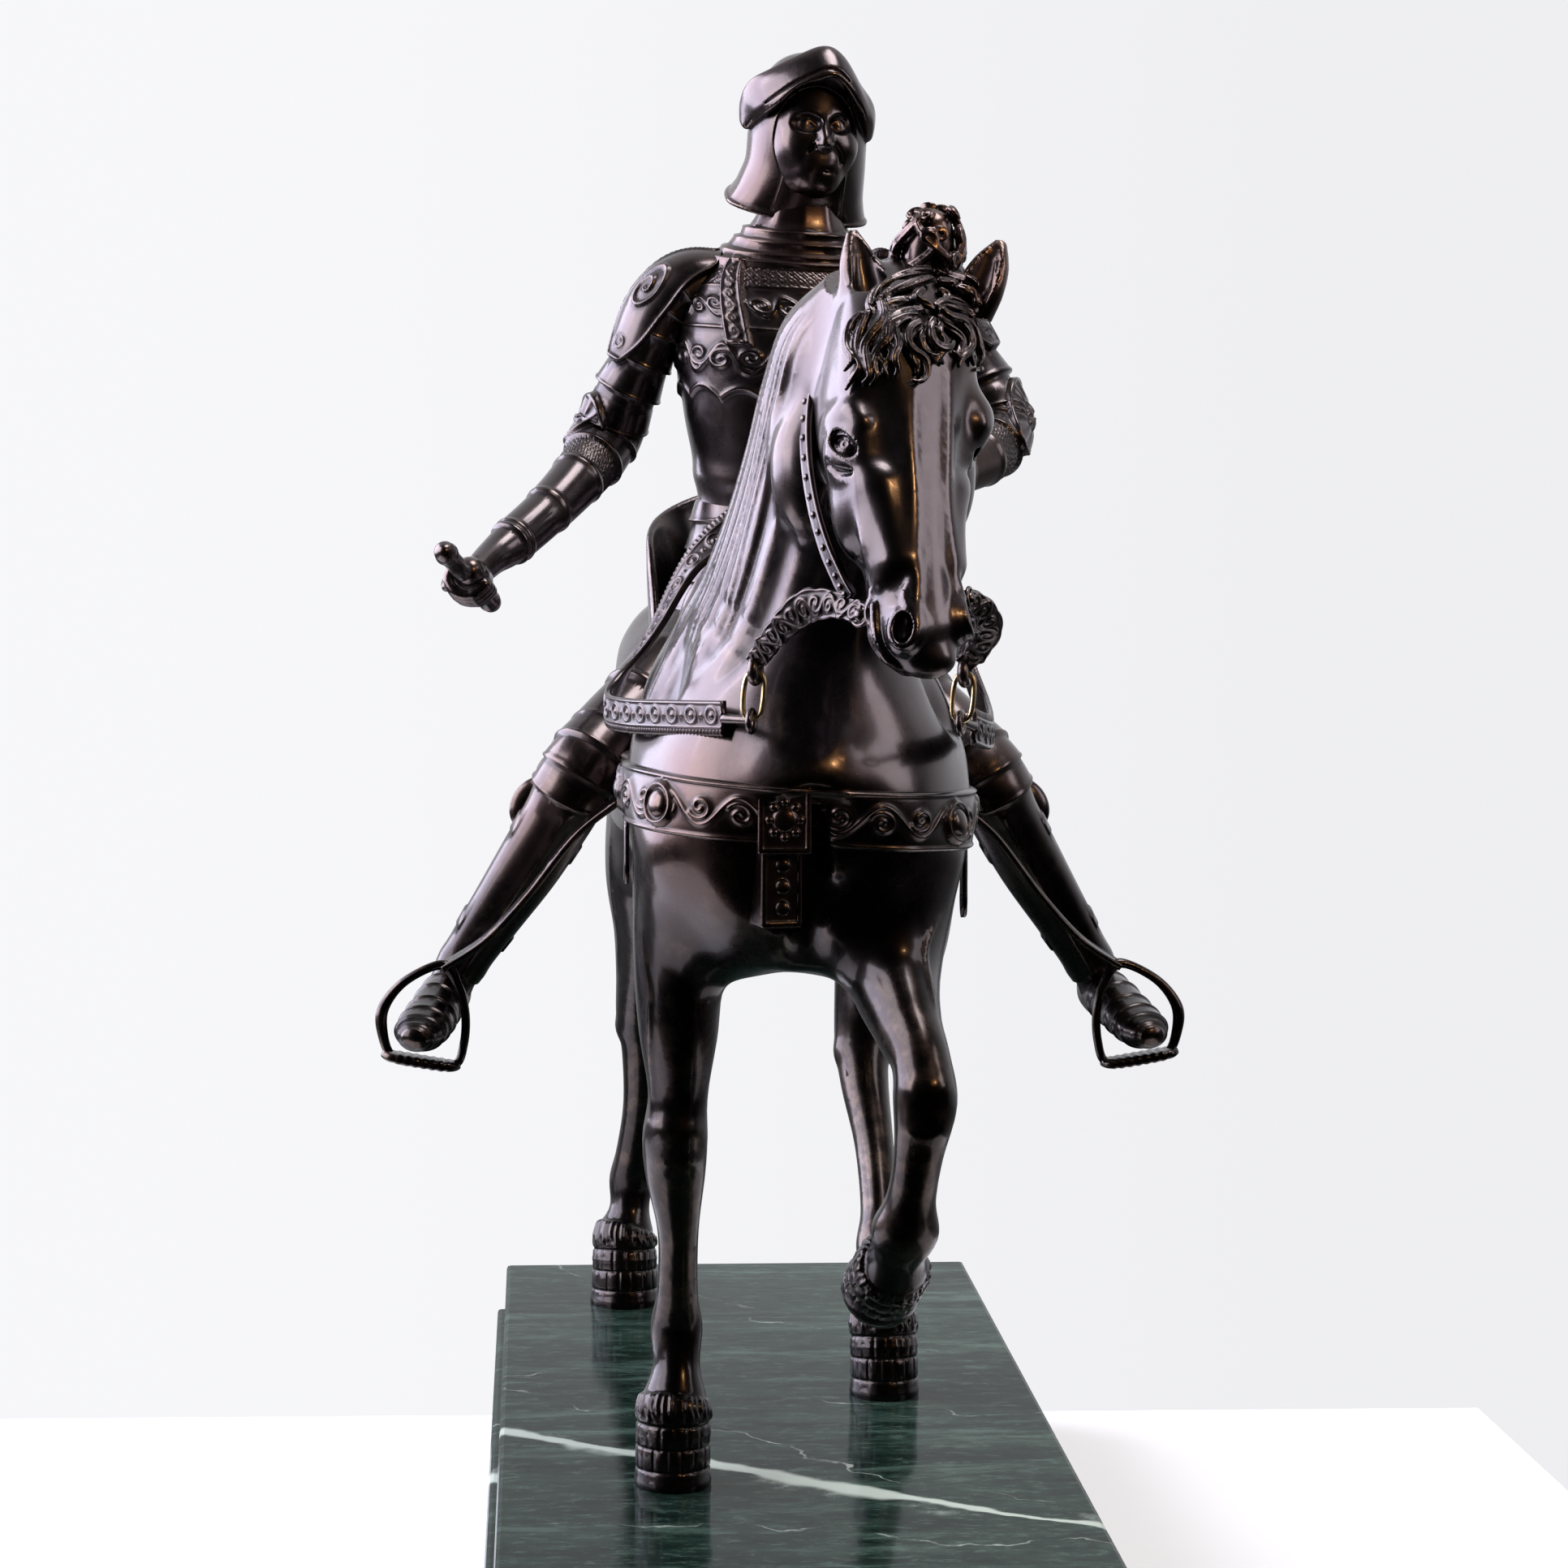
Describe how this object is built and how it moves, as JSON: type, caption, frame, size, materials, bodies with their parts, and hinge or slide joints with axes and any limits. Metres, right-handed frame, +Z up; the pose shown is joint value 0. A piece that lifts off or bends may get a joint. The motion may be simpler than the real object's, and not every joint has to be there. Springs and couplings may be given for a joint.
{
  "type": "equestrian statuette",
  "caption": "Dark bronze statuette of an armoured rider on a walking horse, with reins, bit and stirrups, on a stepped block of green marble.",
  "frame": {"origin": "middle of the plinth's underside", "axes": "+Z up; the horse faces -Y; +X is to the horse's left"},
  "size_m": [0.2512, 0.427, 0.4955],
  "materials": {
    "bronze": "cast bronze with a dark brown, satin patina",
    "brass": "bare brass, dulled",
    "marble": "polished dark green marble with pale veins"
  },
  "bodies": {
    "root": {"marble_plinth": "marble", "horse": "bronze", "rider": "bronze", "stirrup_right": "bronze", "stirrup_left": "bronze", "cheek_strap_right": "bronze", "cheek_strap_left": "bronze", "bit_shank_right": "bronze", "bit_shank_left": "bronze", "rein_hook_right": "brass", "rein_hook_left": "brass", "rein_right": "bronze", "rein_left": "bronze", "pendant_right": "bronze", "pendant_left": "bronze"}
  },
  "joints": []
}
